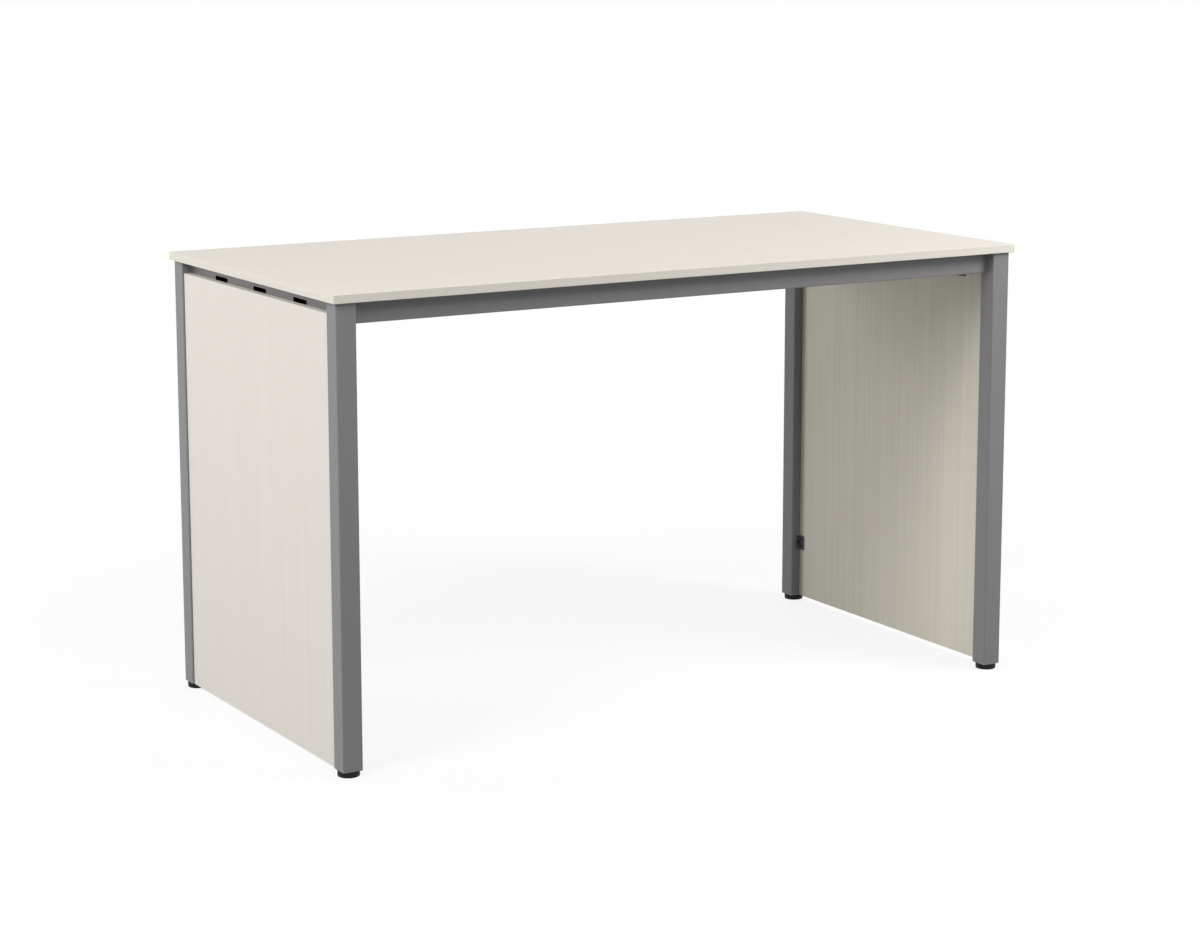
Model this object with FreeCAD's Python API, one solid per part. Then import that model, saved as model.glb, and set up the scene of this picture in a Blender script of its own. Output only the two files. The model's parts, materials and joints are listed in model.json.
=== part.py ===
"""Standing-height conference table: laminate worktop and end panels on a square-tube steel frame.

Millimetres, +Z up. The origin is on the floor, under the middle of the worktop. X runs along the table's
length, Y along its depth, and the front is towards -Y.
"""
import FreeCAD, Part
import math
import os

Vector = FreeCAD.Vector

# Overall size
table_length = 1829.0
table_depth = 914.0
table_height = 1067.0

# Worktop board
worktop_thickness = 19.0
worktop_laminate_thickness = 1.0
worktop_backer_thickness = 1.0
worktop_band_thickness = 2.0
worktop_arris_radius = 1.0

# Legs: square tube, closed by a welded cap at the top
worktop_overhang = 9.0
leg_width = 48.0
leg_wall = 2.0
leg_corner_radius = 3.0
leg_cap_thickness = 3.0
leg_floor_height = 14.0

# Rails: one rectangular tube section, inner faces flush with the legs' inner faces
rail_height = 50.0
rail_width = 25.0
rail_wall = 2.0
rail_corner_radius = 2.5

# Slots in the outer walls of the end rails
slot_length = 70.0
slot_height = 20.0
slot_top_drop = 17.5
slot_corner_radius = 2.0
slot_place_shares = (-0.271, 0.0, 0.271)

# End panels, seated against the end rails and set between the legs
panel_thickness = 19.0
panel_laminate_thickness = 1.0
panel_band_thickness = 1.0
panel_arris_radius = 0.5
panel_top_reveal = 27.5
panel_side_gap = 1.25

# Corner brackets
corner_bracket_thickness = 3.0
corner_bracket_arm = 70.0
corner_bracket_drop = 44.0
corner_gusset_edge = 22.0
corner_bolt_shares = (0.35, 0.78)
corner_screw_shares = ((0.62, 0.2), (0.2, 0.62))

# Cross rail end plates
cross_plate_thickness = 3.0
cross_plate_length = 80.0
cross_plate_edge_gap = 4.0
cross_bolt_share = 0.68

# Clips that hold the worktop to the long rails
clip_thickness = 2.0
clip_width = 30.0
clip_reach = 25.0
clip_drop = 25.0
clip_hole_share = 0.6
clip_place_shares = (-0.38, -0.19, 0.19, 0.38)

# Brackets that hold each end panel: two under the end rail, two low down on the legs
panel_bracket_thickness = 2.0
upper_bracket_width = 32.0
upper_bracket_drop = 24.0
upper_bracket_reach = 24.0
upper_bracket_place_share = 0.366
upper_screw_spacing_share = 0.5
upper_screw_drop_share = 0.58
lower_bracket_height = 38.0
lower_bracket_panel_arm = 23.0
lower_bracket_leg_arm = 12.0
lower_bracket_floor_height = 144.0
lower_screw_spacing_share = 0.5
lower_panel_screw_share = 0.57
lower_leg_screw_share = 0.6

# Frame bolts: button heads with a hexagon socket
bolt_radius = 3.0
bolt_head_radius = 5.5
bolt_head_height = 3.3
bolt_socket_width = 4.0
bolt_socket_depth = 2.0
bolt_reach = 16.0

# Rivet nuts in the rails
nut_body_radius = 4.5
nut_body_length = 13.0
nut_bulge_radius = 6.2
nut_bulge_length = 3.0

# Screws: pan heads with a cross recess
screw_radius = 2.0
screw_head_radius = 3.8
screw_head_height = 2.4
screw_recess_length = 4.2
screw_recess_width = 0.9
screw_recess_depth = 1.3
screw_point_length = 3.0
steel_screw_reach = 9.0
board_screw_reach_share = 0.7

# Levelling glides
foot_plate_thickness = 4.0
foot_plate_recess = 6.0
weld_nut_width = 17.0
weld_nut_height = 8.0
stem_radius = 5.0
stem_chamfer = 1.0
stem_flange_radius = 8.0
stem_flange_thickness = 3.0
collar_width = 17.0
collar_height = 5.0
glide_travel = 20.0
stem_spare_length = 2.0
pad_radius = 25.0
pad_base_radius = 3.0
pad_top_radius = 1.0
pad_floor_thickness = 3.2

# Clearances
hole_clearance = 0.3
thread_clearance = 0.05
pad_clearance = 0.3
collar_clearance = 0.5
pilot_end_clearance = 0.5
cut_overrun = 5.0

# Shares that keep small radii within their walls
arris_limit_share = 0.9
inner_radius_share = 0.25
head_fillet_share = 0.55

# Levels and faces that several pieces share
half_length = table_length / 2
half_depth = table_depth / 2
worktop_bottom = table_height - worktop_thickness
leg_outer_x = half_length - worktop_overhang
leg_outer_y = half_depth - worktop_overhang
leg_inner_x = leg_outer_x - leg_width
leg_inner_y = leg_outer_y - leg_width
leg_centre_x = leg_outer_x - leg_width / 2
leg_centre_y = leg_outer_y - leg_width / 2
rail_bottom = worktop_bottom - rail_height
rail_middle = worktop_bottom - rail_height / 2
long_rail_length = 2 * leg_inner_x
end_rail_length = 2 * leg_inner_y
panel_inner_x = leg_inner_x + rail_width
panel_outer_x = panel_inner_x + panel_thickness
panel_half_width = leg_inner_y - panel_side_gap
panel_top = worktop_bottom - panel_top_reveal
slot_top = worktop_bottom - slot_top_drop

ORIGIN = Vector(0, 0, 0)
X_AXIS = Vector(1, 0, 0)
Y_AXIS = Vector(0, 1, 0)
Z_AXIS = Vector(0, 0, 1)

# Each corner's name and the signs that turn a piece made for +X, +Y into that corner's piece
CORNERS = {
    "front_left": (-1, -1),
    "front_right": (1, -1),
    "back_left": (-1, 1),
    "back_right": (1, 1),
}
ENDS = {"left": -1, "right": 1}
LONG_SIDES = {"front": -1, "back": 1}


# Helpers

def block(x_span, y_span, z_span):
    """A box between the two values of each span."""
    low = Vector(min(x_span), min(y_span), min(z_span))
    size = Vector(max(x_span), max(y_span), max(z_span)) - low
    return Part.makeBox(size.x, size.y, size.z, low)


def rod(radius, length, base=ORIGIN, axis=Z_AXIS):
    """A cylinder that starts at base and runs along axis."""
    return Part.makeCylinder(radius, length, base, axis)


def edges_along(shape, axis):
    """The straight edges of a shape that run along an axis."""
    found = []
    for edge in shape.Edges:
        step = edge.Vertexes[-1].Point - edge.Vertexes[0].Point
        if step.Length > 0 and abs(step.normalize().dot(axis)) > math.cos(math.radians(1)):
            found.append(edge)
    return found


def round_edges_at(shape, level, radius):
    """Fillet the edges of a turned shape that lie flat at one height."""
    flat = [edge for edge in shape.Edges
            if all(abs(vertex.Z - level) < radius for vertex in edge.Vertexes)
            and edge.BoundBox.ZLength < radius]
    return shape.makeFillet(radius, flat)


def hex_prism(width, height):
    """A hexagon across flats, standing on the origin."""
    across_corners = width / math.cos(math.pi / 6)
    points = []
    for index in range(6):
        angle = index * math.pi / 3
        points.append(Vector(math.cos(angle), math.sin(angle), 0) * (across_corners / 2))
    points.append(points[0])
    return Part.Face(Part.makePolygon(points)).extrude(Z_AXIS * height)


def tube(width, depth, wall, corner_radius, length):
    """A rectangular tube standing on the origin, centred on Z, with rounded corners."""
    outer = block((-width / 2, width / 2), (-depth / 2, depth / 2), (0, length))
    outer = outer.makeFillet(corner_radius, edges_along(outer, Z_AXIS))
    hollow = block(
        (wall - width / 2, width / 2 - wall), (wall - depth / 2, depth / 2 - wall), (0, length))
    inner_radius = max(corner_radius - wall, corner_radius * inner_radius_share)
    hollow = hollow.makeFillet(inner_radius, edges_along(hollow, Z_AXIS))
    return outer.cut(hollow)


def moved(shape, offset):
    """A copy of a shape, shifted."""
    copy = shape.copy()
    copy.translate(offset)
    return copy


def pointed(shape, place, axis):
    """A copy of a shape made along +Z at the origin, turned to run along axis from place."""
    copy = shape.copy()
    copy.Placement = FreeCAD.Placement(place, FreeCAD.Rotation(Z_AXIS, axis))
    return copy


def in_corner(shape, signs):
    """A copy of a piece made for the +X, +Y corner, mirrored into another corner."""
    sign_x, sign_y = signs
    copy = shape.copy()
    if sign_x < 0:
        copy = copy.mirror(ORIGIN, X_AXIS)
    if sign_y < 0:
        copy = copy.mirror(ORIGIN, Y_AXIS)
    return copy


def in_all_corners(shapes):
    """Each shape of a list, in all four corners."""
    return [in_corner(shape, signs) for signs in CORNERS.values() for shape in shapes]


def save(name, shape):
    """Write one node; a list becomes a group of separate solids."""
    if isinstance(shape, list):
        shape = Part.makeCompound(shape)
    shape.exportStep("parts/" + name + ".step")
    print(name, len(shape.Solids), "solids", round(shape.Volume / 1000, 2), "cm3")


# Fasteners: each is made along +Z, with the face that it clamps at the origin

def button_bolt(clamped):
    """A bolt whose head stands below the clamped thickness and whose shank runs up through it."""
    head = rod(bolt_head_radius, bolt_head_height)
    head = round_edges_at(head, 0, bolt_head_height * head_fillet_share)
    head = head.cut(hex_prism(bolt_socket_width, bolt_socket_depth))
    head = moved(head, Z_AXIS * (-clamped - bolt_head_height))
    shank = rod(bolt_radius, clamped + bolt_reach, Z_AXIS * -clamped)
    return head.fuse(shank).removeSplitter()


def rivet_nut():
    """A threaded sleeve flush with the rail's face, with its bulge behind the wall."""
    body = rod(nut_body_radius, nut_body_length)
    bulge = rod(nut_bulge_radius, nut_bulge_length, Z_AXIS * rail_wall)
    bore = rod(bolt_radius + thread_clearance, nut_body_length)
    return body.fuse(bulge).removeSplitter().cut(bore)


def pan_screw(clamped, reach):
    """A screw whose head stands below the clamped thickness and whose point reaches above zero."""
    head = rod(screw_head_radius, screw_head_height)
    head = round_edges_at(head, 0, screw_head_height * head_fillet_share)
    for length_x, length_y in (
            (screw_recess_length, screw_recess_width), (screw_recess_width, screw_recess_length)):
        arm = block(
            (-length_x / 2, length_x / 2), (-length_y / 2, length_y / 2), (0, screw_recess_depth))
        head = head.cut(arm)
    head = moved(head, Z_AXIS * (-clamped - screw_head_height))
    straight = reach - screw_point_length
    shank = rod(screw_radius, clamped + straight, Z_AXIS * -clamped)
    point = Part.makeCone(screw_radius, 0, screw_point_length, Z_AXIS * straight, Z_AXIS)
    return head.fuse([shank, point]).removeSplitter()


def bore(radius, depth, before):
    """A cutter from below the clamped face to a depth above it."""
    return rod(radius, depth + before, Z_AXIS * -before)


# Places of the fasteners, each a point on the clamped face and the way that the fastener goes in

def corner_bolt_places():
    """Two bolts into the long rail and two into the end rail, for the +X, +Y corner."""
    places = []
    for share in corner_bolt_shares:
        along = corner_bracket_arm * share
        places.append((Vector(leg_inner_x - along, leg_inner_y, rail_middle), Y_AXIS))
        places.append((Vector(leg_inner_x, leg_inner_y - along, rail_middle), X_AXIS))
    return places


def corner_screw_places():
    """Two wood screws up through the corner bracket's gusset."""
    return [
        (Vector(leg_inner_x - corner_bracket_arm * share_x,
                leg_inner_y - corner_bracket_arm * share_y, worktop_bottom), Z_AXIS)
        for share_x, share_y in corner_screw_shares]


def cross_bolt_places():
    """Two bolts into the back rail, one each side of the cross rail."""
    offset = cross_plate_length / 2 * cross_bolt_share
    return [(Vector(sign * offset, leg_inner_y, rail_middle), Y_AXIS) for sign in (-1, 1)]


def clip_centres():
    """The clips' places along a long rail."""
    return [long_rail_length * share for share in clip_place_shares]


def clip_wood_places():
    """One wood screw up through each clip, along the back rail."""
    inward = clip_reach * clip_hole_share
    return [(Vector(x, leg_inner_y - inward, worktop_bottom), Z_AXIS) for x in clip_centres()]


def clip_steel_places():
    """One steel screw through each clip into the back rail."""
    drop = clip_drop * clip_hole_share
    return [(Vector(x, leg_inner_y, worktop_bottom - drop), Y_AXIS) for x in clip_centres()]


upper_bracket_y = end_rail_length * upper_bracket_place_share
upper_screw_offset = upper_bracket_width * upper_screw_spacing_share / 2
lower_bracket_bottom = lower_bracket_floor_height
lower_screw_offset = lower_bracket_height * lower_screw_spacing_share / 2
lower_bracket_middle = lower_bracket_bottom + lower_bracket_height / 2


def upper_wood_places():
    """Two wood screws through the upper panel bracket into the panel."""
    level = rail_bottom - upper_bracket_drop * upper_screw_drop_share
    return [(Vector(panel_inner_x, upper_bracket_y + sign * upper_screw_offset, level), X_AXIS)
            for sign in (-1, 1)]


def upper_steel_places():
    """Two steel screws through the upper panel bracket into the underside of the end rail."""
    middle_x = leg_inner_x + rail_width / 2
    return [(Vector(middle_x, upper_bracket_y + sign * upper_screw_offset, rail_bottom), Z_AXIS)
            for sign in (-1, 1)]


def lower_wood_places():
    """Two wood screws through the lower panel bracket into the panel."""
    y = leg_inner_y - lower_bracket_panel_arm * lower_panel_screw_share
    return [(Vector(panel_inner_x, y, lower_bracket_middle + sign * lower_screw_offset), X_AXIS)
            for sign in (-1, 1)]


def lower_steel_places():
    """One steel screw through the lower panel bracket into the leg."""
    x = panel_inner_x - lower_bracket_leg_arm * lower_leg_screw_share
    return [(Vector(x, leg_inner_y, lower_bracket_middle), Y_AXIS)]


def fastened(shape, places):
    """A fastener or cutter made along +Z, set at each place."""
    return [pointed(shape, place, axis) for place, axis in places]


def both_long_sides(shapes):
    """Shapes made for the back rail, and their mirror images at the front rail."""
    return shapes + [shape.mirror(ORIGIN, Y_AXIS) for shape in shapes]


# Worktop: rounded blank, divided into its core, two face sheets and four edge bands

def worktop_pieces():
    """The board's pieces by node name."""
    arris = min(worktop_arris_radius, worktop_band_thickness * arris_limit_share)
    blank = block((-half_length, half_length), (-half_depth, half_depth), (worktop_bottom, table_height))
    blank = blank.makeFillet(arris, blank.Edges)
    core_x = half_length - worktop_band_thickness
    core_y = half_depth - worktop_band_thickness
    core_bottom = worktop_bottom + worktop_backer_thickness
    core_top = table_height - worktop_laminate_thickness
    inner_x = (-core_x, core_x)
    inner_y = (-core_y, core_y)
    full = (worktop_bottom, table_height)
    reach = board_screw_reach_share * worktop_thickness
    pilot = bore(screw_radius + thread_clearance, reach + pilot_end_clearance, cut_overrun)
    pilots = in_all_corners(fastened(pilot, corner_screw_places()))
    pilots += both_long_sides(fastened(pilot, clip_wood_places()))
    pieces = {
        "worktop_core": block(inner_x, inner_y, (core_bottom, core_top)).cut(pilots),
        "worktop_backer": block(inner_x, inner_y, (worktop_bottom, core_bottom)).cut(pilots),
        "worktop_laminate": block(inner_x, inner_y, (core_top, table_height)),
    }
    for name, sign in LONG_SIDES.items():
        edge = block((-half_length, half_length), (sign * core_y, sign * half_depth), full)
        pieces["worktop_edge_band_" + name] = blank.common(edge).Solids[0]
    for name, sign in ENDS.items():
        edge = block((sign * core_x, sign * half_length), inner_y, full)
        pieces["worktop_edge_band_" + name] = blank.common(edge).Solids[0]
    return pieces


# Frame

def leg():
    """The +X, +Y leg tube, with the hole for the lower panel bracket's screw."""
    shape = tube(leg_width, leg_width, leg_wall, leg_corner_radius, worktop_bottom - leg_floor_height)
    shape = moved(shape, Vector(leg_centre_x, leg_centre_y, leg_floor_height))
    hole = bore(screw_radius + thread_clearance, leg_wall + cut_overrun, cut_overrun)
    return shape.cut(fastened(hole, lower_steel_places()))


def tube_plate(thickness):
    """A square plate that fits inside the leg tube, standing on the origin."""
    half = leg_width / 2 - leg_wall
    plate = block((-half, half), (-half, half), (0, thickness))
    return plate.makeFillet(leg_corner_radius, edges_along(plate, Z_AXIS))


def leg_cap():
    """The cap welded into the top of the +X, +Y leg."""
    return moved(
        tube_plate(leg_cap_thickness),
        Vector(leg_centre_x, leg_centre_y, worktop_bottom - leg_cap_thickness))


def nut_hole():
    """The cutter for a rivet nut through a rail's wall."""
    return bore(nut_body_radius + thread_clearance, rail_wall + cut_overrun, cut_overrun)


def wall_screw_hole():
    """The cutter for a steel screw through a rail's wall."""
    return bore(screw_radius + thread_clearance, rail_wall + cut_overrun, cut_overrun)


def long_rail():
    """The back rail, along X between the legs."""
    section = tube(rail_height, rail_width, rail_wall, rail_corner_radius, long_rail_length)
    rail = pointed(section, ORIGIN, X_AXIS)
    rail.translate(Vector(-leg_inner_x, leg_inner_y + rail_width / 2, rail_middle))
    bolts = [place for place in corner_bolt_places() if place[1] == Y_AXIS]
    cutters = fastened(nut_hole(), bolts)
    cutters += [cutter.mirror(ORIGIN, X_AXIS) for cutter in cutters]
    cutters += fastened(nut_hole(), cross_bolt_places())
    cutters += fastened(wall_screw_hole(), clip_steel_places())
    return rail.cut(cutters)


def end_rail():
    """The right end rail, along Y between the legs, with slots in its outer wall."""
    section = tube(rail_width, rail_height, rail_wall, rail_corner_radius, end_rail_length)
    rail = pointed(section, ORIGIN, Y_AXIS)
    middle_x = leg_inner_x + rail_width / 2
    rail.translate(Vector(middle_x, -leg_inner_y, rail_middle))
    cutters = fastened(nut_hole(), [place for place in corner_bolt_places() if place[1] == X_AXIS])
    cutters += fastened(wall_screw_hole(), upper_steel_places())
    cutters += [cutter.mirror(ORIGIN, Y_AXIS) for cutter in cutters]
    for share in slot_place_shares:
        middle = end_rail_length * share
        slot = block(
            (middle_x, panel_inner_x + cut_overrun),
            (middle - slot_length / 2, middle + slot_length / 2),
            (slot_top - slot_height, slot_top))
        cutters.append(slot.makeFillet(slot_corner_radius, edges_along(slot, X_AXIS)))
    return rail.cut(cutters)


def cross_rail():
    """The cross rail at mid length, with an end plate welded to each end."""
    half_tube = leg_inner_y - cross_plate_thickness
    section = tube(rail_width, rail_height, rail_wall, rail_corner_radius, 2 * half_tube)
    rail = pointed(section, ORIGIN, Y_AXIS)
    rail.translate(Vector(0, -half_tube, rail_middle))
    plate = block(
        (-cross_plate_length / 2, cross_plate_length / 2), (half_tube, leg_inner_y),
        (rail_bottom + cross_plate_edge_gap, worktop_bottom - cross_plate_edge_gap))
    holes = bore(bolt_radius + hole_clearance, cut_overrun, cross_plate_thickness + cut_overrun)
    plate = plate.cut(fastened(holes, cross_bolt_places()))
    return rail.fuse(both_long_sides([plate])).removeSplitter()


def corner_bracket():
    """A pressed angle with a gusset on top, in the +X, +Y inner corner of the rails."""
    thickness = corner_bracket_thickness
    low_x = leg_inner_x - corner_bracket_arm
    low_y = leg_inner_y - corner_bracket_arm
    span_z = (worktop_bottom - corner_bracket_drop, worktop_bottom)
    long_arm = block((low_x, leg_inner_x), (leg_inner_y - thickness, leg_inner_y), span_z)
    end_arm = block((leg_inner_x - thickness, leg_inner_x), (low_y, leg_inner_y), span_z)
    outline = [
        Vector(leg_inner_x, leg_inner_y, 0),
        Vector(low_x, leg_inner_y, 0),
        Vector(low_x, leg_inner_y - corner_gusset_edge, 0),
        Vector(leg_inner_x - corner_gusset_edge, low_y, 0),
        Vector(leg_inner_x, low_y, 0),
        Vector(leg_inner_x, leg_inner_y, 0),
    ]
    gusset = Part.Face(Part.makePolygon(outline)).extrude(Z_AXIS * thickness)
    gusset.translate(Z_AXIS * (worktop_bottom - thickness))
    shape = long_arm.fuse([end_arm, gusset]).removeSplitter()
    bolt_hole = bore(bolt_radius + hole_clearance, cut_overrun, thickness + cut_overrun)
    screw_hole = bore(screw_radius + hole_clearance, cut_overrun, thickness + cut_overrun)
    cutters = fastened(bolt_hole, corner_bolt_places()) + fastened(screw_hole, corner_screw_places())
    return shape.cut(cutters)


def clip(x):
    """An L clip on the back rail's inner face, under the worktop."""
    span_x = (x - clip_width / 2, x + clip_width / 2)
    upright = block(
        span_x, (leg_inner_y - clip_thickness, leg_inner_y), (worktop_bottom - clip_drop, worktop_bottom))
    flat = block(
        span_x, (leg_inner_y - clip_reach, leg_inner_y), (worktop_bottom - clip_thickness, worktop_bottom))
    hole = bore(screw_radius + hole_clearance, cut_overrun, clip_thickness + cut_overrun)
    cutters = fastened(hole, clip_wood_places() + clip_steel_places())
    return upright.fuse(flat).removeSplitter().cut(cutters)


# End panels

def panel_pieces(name, sign):
    """One end panel's core, two laminates and edge bands, by node name; sign is its end along X."""
    span_x = (panel_inner_x, panel_outer_x)
    arris = min(panel_arris_radius, panel_band_thickness * arris_limit_share)
    blank = block(span_x, (-panel_half_width, panel_half_width), (leg_floor_height, panel_top))
    blank = blank.makeFillet(arris, blank.Edges)
    inner_y = panel_half_width - panel_band_thickness
    inner_z = (leg_floor_height + panel_band_thickness, panel_top - panel_band_thickness)
    core_x = (panel_inner_x + panel_laminate_thickness, panel_outer_x - panel_laminate_thickness)
    reach = board_screw_reach_share * panel_thickness
    pilot = bore(screw_radius + thread_clearance, reach + pilot_end_clearance, cut_overrun)
    pilots = fastened(pilot, upper_wood_places() + lower_wood_places())
    pilots += [cutter.mirror(ORIGIN, Y_AXIS) for cutter in pilots]
    sheet_y = (-inner_y, inner_y)
    core = block(core_x, sheet_y, inner_z).cut(pilots)
    inner_sheet = block((panel_inner_x, core_x[0]), sheet_y, inner_z).cut(pilots)
    outer_sheet = block((core_x[1], panel_outer_x), sheet_y, inner_z)
    whole_y = (-panel_half_width, panel_half_width)
    strips = [
        block(span_x, whole_y, (leg_floor_height, inner_z[0])),
        block(span_x, whole_y, (inner_z[1], panel_top)),
        block(span_x, (-panel_half_width, -inner_y), inner_z),
        block(span_x, (inner_y, panel_half_width), inner_z),
    ]
    bands = [blank.common(strip).Solids[0] for strip in strips]
    side = (sign, 1)
    return {
        name + "_panel_core": in_corner(core, side),
        name + "_panel_inner_laminate": in_corner(inner_sheet, side),
        name + "_panel_outer_laminate": in_corner(outer_sheet, side),
        name + "_panel_edge_bands": [in_corner(band, side) for band in bands],
    }


def upper_panel_bracket():
    """An L bracket under the +X end rail, on the panel's inner face."""
    span_y = (upper_bracket_y - upper_bracket_width / 2, upper_bracket_y + upper_bracket_width / 2)
    upright = block(
        (panel_inner_x - panel_bracket_thickness, panel_inner_x), span_y,
        (rail_bottom - upper_bracket_drop, rail_bottom))
    flat = block(
        (panel_inner_x - upper_bracket_reach, panel_inner_x), span_y,
        (rail_bottom - panel_bracket_thickness, rail_bottom))
    hole = bore(screw_radius + hole_clearance, cut_overrun, panel_bracket_thickness + cut_overrun)
    cutters = fastened(hole, upper_wood_places() + upper_steel_places())
    return upright.fuse(flat).removeSplitter().cut(cutters)


def lower_panel_bracket():
    """An L bracket between the panel's inner face and the +X, +Y leg's side."""
    span_z = (lower_bracket_bottom, lower_bracket_bottom + lower_bracket_height)
    on_panel = block(
        (panel_inner_x - panel_bracket_thickness, panel_inner_x),
        (leg_inner_y - lower_bracket_panel_arm, leg_inner_y), span_z)
    on_leg = block(
        (panel_inner_x - lower_bracket_leg_arm, panel_inner_x),
        (leg_inner_y - panel_bracket_thickness, leg_inner_y), span_z)
    hole = bore(screw_radius + hole_clearance, cut_overrun, panel_bracket_thickness + cut_overrun)
    cutters = fastened(hole, lower_wood_places() + lower_steel_places())
    return on_panel.fuse(on_leg).removeSplitter().cut(cutters)


# Levelling glides, made on the Z axis and then moved under the +X, +Y leg

pad_height = leg_floor_height - pad_clearance
foot_plate_bottom = leg_floor_height + foot_plate_recess
weld_nut_bottom = foot_plate_bottom + foot_plate_thickness
stem_top = weld_nut_bottom + weld_nut_height + glide_travel + stem_spare_length
stem_flange_bottom = pad_floor_thickness + pad_clearance
under_leg = Vector(leg_centre_x, leg_centre_y, 0)


def foot_plate():
    """The plate welded inside the leg's foot, above the room for the stem's collar."""
    plate = moved(tube_plate(foot_plate_thickness), Z_AXIS * foot_plate_bottom)
    hole = rod(stem_radius + hole_clearance, foot_plate_thickness, Z_AXIS * foot_plate_bottom)
    return moved(plate.cut(hole), under_leg)


def weld_nut():
    """The hexagon nut welded on the foot plate."""
    nut = hex_prism(weld_nut_width, weld_nut_height).cut(rod(stem_radius + thread_clearance, weld_nut_height))
    return moved(nut, under_leg + Z_AXIS * weld_nut_bottom)


def glide_stem():
    """The threaded stem, with its hexagon collar and the flange that turns in the pad."""
    shank = rod(stem_radius, stem_top - stem_flange_bottom, Z_AXIS * stem_flange_bottom)
    shank = shank.makeChamfer(stem_chamfer, [
        edge for edge in shank.Edges if edge.BoundBox.ZMin > stem_top - stem_chamfer])
    flange = rod(stem_flange_radius, stem_flange_thickness, Z_AXIS * stem_flange_bottom)
    collar = hex_prism(collar_width, collar_height)
    collar.translate(Z_AXIS * (pad_height + collar_clearance))
    return moved(shank.fuse([flange, collar]).removeSplitter(), under_leg)


def glide_pad():
    """The round pad, with the closed socket that holds the stem's flange."""
    pad = rod(pad_radius, pad_height)
    pad = round_edges_at(pad, 0, pad_base_radius)
    pad = round_edges_at(pad, pad_height, pad_top_radius)
    socket_top = stem_flange_bottom + stem_flange_thickness + pad_clearance
    socket = rod(
        stem_flange_radius + pad_clearance, socket_top - pad_floor_thickness, Z_AXIS * pad_floor_thickness)
    neck = rod(stem_radius + pad_clearance, pad_height - pad_floor_thickness, Z_AXIS * pad_floor_thickness)
    return moved(pad.cut([socket, neck]), under_leg)


def make_table():
    """Write every node of the table."""
    os.makedirs("parts", exist_ok=True)

    for name, shape in worktop_pieces().items():
        save(name, shape)
    for name, sign in ENDS.items():
        save(name + "_end_rail", in_corner(end_rail(), (sign, 1)))
        for piece, shape in panel_pieces(name, sign).items():
            save(piece, shape)
    for name, sign in LONG_SIDES.items():
        save(name + "_rail", in_corner(long_rail(), (1, sign)))
    save("cross_rail", cross_rail())

    corner_pieces = {
        "leg": leg(),
        "corner_bracket": corner_bracket(),
        "upper_panel_bracket": upper_panel_bracket(),
        "lower_panel_bracket": lower_panel_bracket(),
        "foot_plate": foot_plate(),
        "weld_nut": weld_nut(),
        "glide_stem": glide_stem(),
        "glide_pad": glide_pad(),
    }
    for piece, shape in corner_pieces.items():
        for name, signs in CORNERS.items():
            save(piece + "_" + name, in_corner(shape, signs))

    save("leg_caps", in_all_corners([leg_cap()]))
    save("worktop_clips", both_long_sides([clip(x) for x in clip_centres()]))

    corner_bolts = fastened(button_bolt(corner_bracket_thickness), corner_bolt_places())
    cross_bolts = fastened(button_bolt(cross_plate_thickness), cross_bolt_places())
    save("frame_bolts", in_all_corners(corner_bolts) + both_long_sides(cross_bolts))
    save("rivet_nuts",
         in_all_corners(fastened(rivet_nut(), corner_bolt_places()))
         + both_long_sides(fastened(rivet_nut(), cross_bolt_places())))

    worktop_reach = board_screw_reach_share * worktop_thickness
    gusset_screws = fastened(pan_screw(corner_bracket_thickness, worktop_reach), corner_screw_places())
    clip_screws = fastened(pan_screw(clip_thickness, worktop_reach), clip_wood_places())
    save("worktop_screws", in_all_corners(gusset_screws) + both_long_sides(clip_screws))

    panel_screw = pan_screw(panel_bracket_thickness, board_screw_reach_share * panel_thickness)
    save("panel_screws", in_all_corners(fastened(panel_screw, upper_wood_places() + lower_wood_places())))

    bracket_screw = pan_screw(panel_bracket_thickness, steel_screw_reach)
    clip_screw = pan_screw(clip_thickness, steel_screw_reach)
    save("steel_screws",
         in_all_corners(fastened(bracket_screw, upper_steel_places() + lower_steel_places()))
         + both_long_sides(fastened(clip_screw, clip_steel_places())))


make_table()
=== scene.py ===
# %% [markdown]
# # A standing-height conference table
#
# The real table is a laminate board on a silver grey steel frame: four square legs, rails between them, and an
# upright laminate panel closing each end. This lesson gives every piece a finish, cuts the screw threads that
# the CAD leaves plain, and lights the table as in a studio. The CAD box is kept, so that the finished table
# can be measured against it.

import json
import math

import bpy
import numpy as np
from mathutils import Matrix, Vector


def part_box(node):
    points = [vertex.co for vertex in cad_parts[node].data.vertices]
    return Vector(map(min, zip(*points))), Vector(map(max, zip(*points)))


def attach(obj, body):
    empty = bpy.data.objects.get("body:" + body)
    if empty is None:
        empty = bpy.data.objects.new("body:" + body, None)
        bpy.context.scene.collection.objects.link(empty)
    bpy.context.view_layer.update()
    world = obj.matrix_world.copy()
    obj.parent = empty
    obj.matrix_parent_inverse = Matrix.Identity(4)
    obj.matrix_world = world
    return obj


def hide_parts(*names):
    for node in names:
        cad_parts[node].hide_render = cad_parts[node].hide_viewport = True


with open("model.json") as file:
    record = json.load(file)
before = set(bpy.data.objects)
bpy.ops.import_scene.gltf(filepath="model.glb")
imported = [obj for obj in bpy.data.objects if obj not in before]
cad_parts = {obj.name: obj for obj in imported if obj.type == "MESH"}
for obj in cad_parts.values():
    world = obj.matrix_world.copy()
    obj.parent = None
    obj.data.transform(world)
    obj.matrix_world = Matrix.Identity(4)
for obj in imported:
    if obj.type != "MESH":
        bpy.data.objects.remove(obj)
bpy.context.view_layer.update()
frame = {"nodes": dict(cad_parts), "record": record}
nodes = frame["nodes"]

# %% [markdown]
# ## Lengths and corners
#
# Blender works in metres, but fittings are drawn in millimetres, so a single factor turns one into the other.
# The four legs share their fittings, and each fitting's name ends in its corner, as in the CAD model.

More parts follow.
